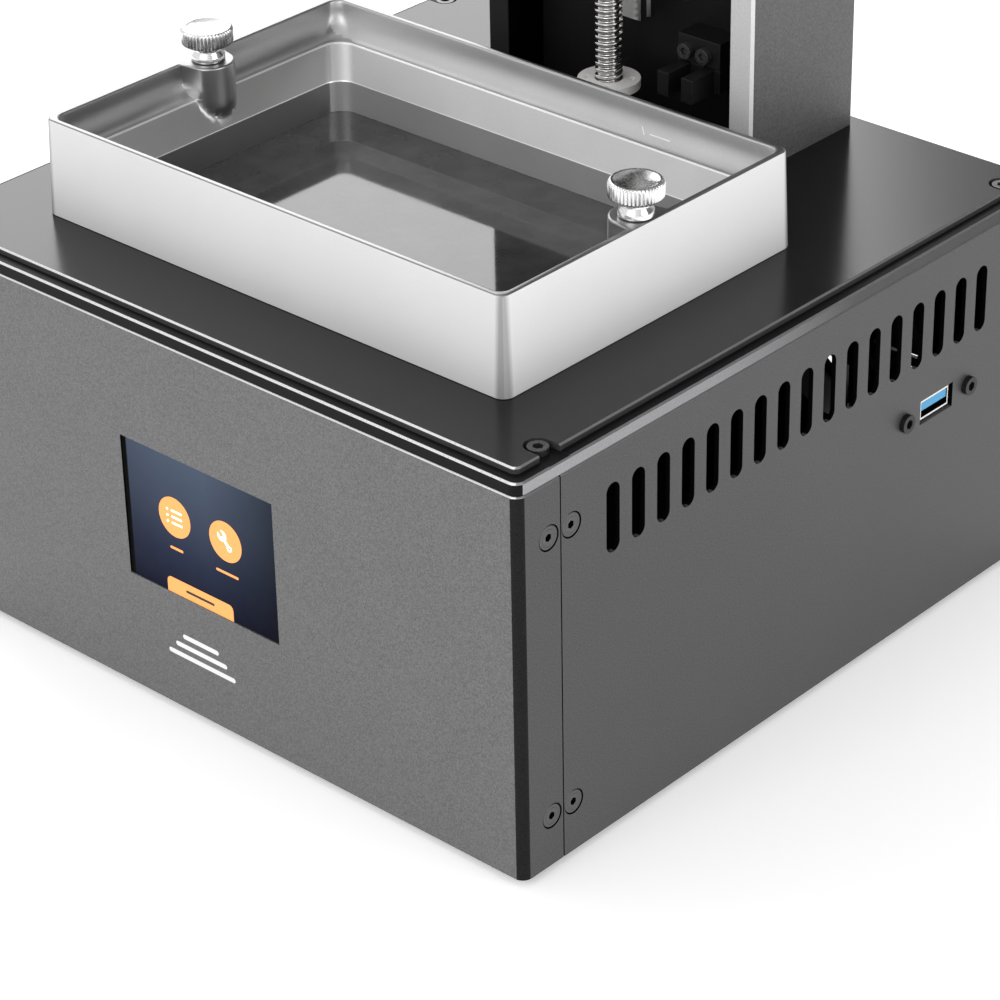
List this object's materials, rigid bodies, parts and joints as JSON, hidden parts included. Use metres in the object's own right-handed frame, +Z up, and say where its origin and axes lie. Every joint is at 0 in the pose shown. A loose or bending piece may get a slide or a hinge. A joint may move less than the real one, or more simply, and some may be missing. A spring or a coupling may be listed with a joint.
{
  "type": "resin printer",
  "caption": "Desktop masked-LCD resin printer: sheet-metal base with touch screen, resin vat, and a column with a lead screw and raised build platform.",
  "frame": {"origin": "middle of the base on the surface that the rubber feet stand on", "axes": "+Z up, +X to the right seen from the screen side, +Y from the screen towards the column"},
  "size_m": [0.2276, 0.2258, 0.4067],
  "materials": {
    "inner_steel": "satin",
    "rubber": "matt",
    "cover_paint": "fine textured powder coat",
    "steel_screw": "black oxide",
    "black_screw": "black oxide",
    "deck_paint": "smooth anodised black",
    "screen_glass": "gloss",
    "display_frame": "matt",
    "circuit_board": "solder mask",
    "plated_shell": "plated",
    "blue_plastic": "satin",
    "vat_metal": "bead-blasted, satin",
    "film": "mirror-smooth",
    "clamp_metal": "satin",
    "thumb_metal": "knurled",
    "lcd_dark": "gloss",
    "black_plastic": "satin",
    "rocker_plastic": "gloss",
    "lens_glass": "clear",
    "led_board": "white solder mask",
    "heatsink": "extruded",
    "column_paint": "fine textured",
    "spine_black": "black anodised",
    "rail_steel": "ground",
    "screw_steel": "rolled thread",
    "bare_aluminium": "machined",
    "motor_black": "satin",
    "pale_bush": "pale bronze",
    "arm_black": "black anodised",
    "brass": "machined"
  },
  "bodies": {
    "base": {"base_tray": "inner_steel", "rubber_feet": "rubber", "front_cover": "cover_paint", "rear_cover": "cover_paint", "seam_screws": "steel_screw", "deck_plate": "deck_paint", "deck_screws": "steel_screw", "display_glass": "screen_glass", "display_module": "display_frame", "display_board": "circuit_board", "inner_screws": "steel_screw", "usb_socket": "plated_shell", "usb_tongue": "blue_plastic", "usb_screws": "black_screw", "vat_body": "vat_metal", "vat_film": "film", "film_clamp_frame": "clamp_metal", "film_clamp_screws": "steel_screw", "lcd_panel": "lcd_dark", "lcd_frame": "black_plastic", "light_shroud": "black_plastic", "uv_lens": "lens_glass", "uv_led_board": "led_board", "led_heatsink": "heatsink", "led_fan_frame": "black_plastic", "mainboard": "circuit_board", "power_inlet": "black_plastic", "power_switch_housing": "black_plastic", "rear_fan_frame": "black_plastic", "rear_fan_screws": "black_screw", "column_housing": "column_paint", "column_cap": "column_paint", "column_spine": "spine_black", "spine_screws": "steel_screw", "linear_rail": "rail_steel", "rail_screws": "steel_screw", "stepper_motor": "motor_black", "motor_bracket": "inner_steel", "foot_bush": "pale_bush", "top_bearing_block": "spine_black", "endstop_block": "black_plastic", "endstop_screws": "steel_screw", "endstop_sensor": "black_plastic"},
    "carriage": {"carriage_arm": "arm_black", "arm_screws": "steel_screw", "lead_nut": "brass", "rail_block": "rail_steel", "endstop_flag": "inner_steel", "platform_plate": "bare_aluminium", "platform_mount": "bare_aluminium", "levelling_screws": "steel_screw"},
    "screw": {"lead_screw": "screw_steel", "shaft_coupling": "bare_aluminium", "motor_shaft": "screw_steel"},
    "knob": {"platform_knob": "black_plastic"},
    "thumb_left": {"thumb_screw_left": "thumb_metal"},
    "thumb_right": {"thumb_screw_right": "thumb_metal"},
    "rocker": {"power_rocker": "rocker_plastic"},
    "rear_rotor": {"rear_fan_rotor": "black_plastic"},
    "led_rotor": {"led_fan_rotor": "black_plastic"}
  },
  "joints": [
    {"name": "z_lift", "type": "slide", "parent": "base", "child": "carriage", "axis": [0, 0, 1], "range_m": [-0.1895, 0]},
    {"name": "lead_screw_spin", "type": "hinge", "parent": "base", "child": "screw", "pos_m": [0, 0.054, 0.104], "axis": [0, 0, 1], "continuous": true},
    {"name": "platform_knob_turn", "type": "hinge", "parent": "carriage", "child": "knob", "pos_m": [0, -0.0274, 0.36], "axis": [0, 0, 1], "continuous": true},
    {"name": "thumb_left_turn", "type": "hinge", "parent": "base", "child": "thumb_left", "pos_m": [-0.0788, -0.0274, 0.15], "axis": [0, 0, 1], "continuous": true},
    {"name": "thumb_right_turn", "type": "hinge", "parent": "base", "child": "thumb_right", "pos_m": [0.0788, -0.0274, 0.15], "axis": [0, 0, 1], "continuous": true},
    {"name": "power_rocker_tilt", "type": "hinge", "parent": "base", "child": "rocker", "pos_m": [-0.088, 0.1058, 0.03], "axis": [1, 0, 0], "range_deg": [0, 18]},
    {"name": "rear_fan_spin", "type": "hinge", "parent": "base", "child": "rear_rotor", "pos_m": [0.055, 0.1, 0.058], "axis": [0, 1, 0], "continuous": true},
    {"name": "led_fan_spin", "type": "hinge", "parent": "base", "child": "led_rotor", "pos_m": [0, -0.0274, 0.02], "axis": [0, 0, 1], "continuous": true}
  ],
  "couplings": [
    {"joint": "lead_screw_spin", "follows": "z_lift", "rad_per_m": -3141.6}
  ]
}
